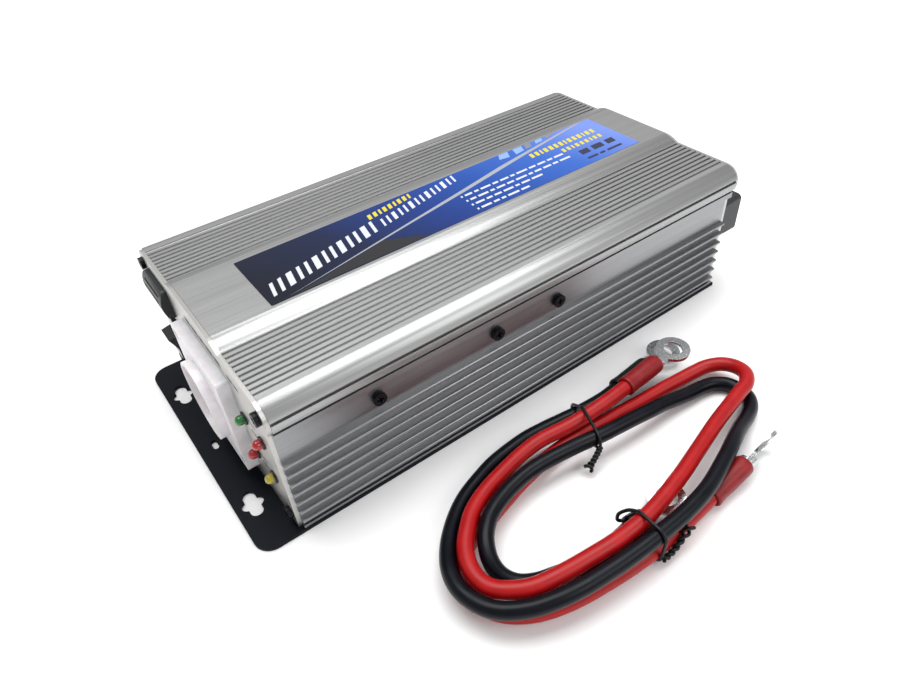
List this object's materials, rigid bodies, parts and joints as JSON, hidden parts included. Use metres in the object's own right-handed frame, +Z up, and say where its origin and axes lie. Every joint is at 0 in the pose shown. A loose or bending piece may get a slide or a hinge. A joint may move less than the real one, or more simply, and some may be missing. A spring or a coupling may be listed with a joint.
{
  "type": "power inverter",
  "caption": "Power inverter in a finned aluminium case: earthed two-pin socket and rocker at one end, fan and stud terminals at the other, loose battery leads alongside.",
  "frame": {"origin": "centre of the inverter (leads left out) on the surface it stands on", "axes": "+X along the case from the socket end to the battery end, +Z up, +Y away from the leads"},
  "size_m": [0.338, 0.2783, 0.088],
  "materials": {
    "anodised_aluminium": "satin anodised",
    "anodised_aluminium_dark": "satin anodised",
    "panel_aluminium": "brushed, clear coated",
    "base_steel": "black powder coat",
    "label_film": "printed polyester film",
    "black_screws": "blackened",
    "zinc_steel": "bright zinc plating",
    "plain_steel": "plain",
    "white_plastic": "semi-gloss",
    "insert_plastic": "matte",
    "black_plastic": "fine textured",
    "rocker_plastic": "semi-gloss",
    "red_plastic": "fine textured",
    "brass": "plain",
    "copper": "tinned or bare copper",
    "led_green": "tinted clear resin",
    "led_red": "tinted clear resin",
    "led_yellow": "tinted clear resin",
    "circuit_board": "solder mask",
    "ferrite": "matt",
    "enamelled_copper": "enamelled",
    "capacitor_sleeve": "shrink sleeve",
    "thermal_pad": "silicone",
    "fuse_plastic": "moulded",
    "wire_insulation": "plain",
    "red_cable": "flexible lead sheath",
    "black_cable": "flexible lead sheath",
    "red_boot": "soft sleeve",
    "black_boot": "soft sleeve",
    "tinned_copper": "electro-tinned",
    "tie_plastic": "plastic-covered wire"
  },
  "bodies": {
    "case": {"base_plate": "base_steel", "chassis": "anodised_aluminium_dark", "top_cover": "anodised_aluminium", "top_label": "label_film", "front_panel": "panel_aluminium", "rear_panel": "panel_aluminium", "front_panel_screws": "black_screws", "rear_panel_screws": "black_screws", "side_screws": "black_screws", "base_screws": "black_screws", "socket_housing": "white_plastic", "socket_insert": "insert_plastic", "earth_clips": "brass", "contact_sleeves": "brass", "socket_screws": "zinc_steel", "switch_body": "black_plastic", "vent_cowl": "black_plastic", "led_green": "led_green", "leds_red": "led_red", "led_yellow": "led_yellow", "led_holders": "black_plastic", "main_board": "circuit_board", "board_standoffs": "brass", "board_screws": "zinc_steel", "transformer_cores": "ferrite", "transformer_windings": "enamelled_copper", "input_capacitors": "capacitor_sleeve", "bus_capacitor": "capacitor_sleeve", "output_choke": "enamelled_copper", "power_transistors": "black_plastic", "insulating_pads": "thermal_pad", "clamp_bars": "plain_steel", "fuse_holders": "black_plastic", "blade_fuses": "fuse_plastic", "buzzer": "black_plastic", "busbars": "copper", "ac_wires": "wire_insulation", "fan_frame": "black_plastic", "fan_guard": "zinc_steel", "fan_screws": "zinc_steel", "negative_terminal": "black_plastic", "positive_terminal": "red_plastic", "negative_stud": "brass", "positive_stud": "brass", "earth_stud": "brass", "red_lead": "red_cable", "black_lead": "black_cable", "red_boots": "red_boot", "black_boots": "black_boot", "red_ring_terminals": "tinned_copper", "black_ring_terminals": "tinned_copper", "cable_ties": "tie_plastic"},
    "rocker": {"power_rocker": "rocker_plastic"},
    "rotor": {"fan_rotor": "black_plastic"},
    "negative_nut_body": {"negative_nut": "zinc_steel"},
    "positive_nut_body": {"positive_nut": "zinc_steel"}
  },
  "joints": [
    {"name": "rocker_tilt", "type": "hinge", "parent": "case", "child": "rocker", "pos_m": [-0.1475, 0.042, 0.044], "axis": [0, 1, 0], "range_deg": [0, 24]},
    {"name": "fan_spin", "type": "hinge", "parent": "case", "child": "rotor", "pos_m": [0.14, 0.04, 0.043], "axis": [1, 0, 0], "continuous": true},
    {"name": "negative_nut_turn", "type": "hinge", "parent": "case", "child": "negative_nut_body", "pos_m": [0.163, -0.0605, 0.0475], "axis": [1, 0, 0], "continuous": true},
    {"name": "positive_nut_turn", "type": "hinge", "parent": "case", "child": "positive_nut_body", "pos_m": [0.163, -0.023, 0.0475], "axis": [1, 0, 0], "continuous": true}
  ]
}
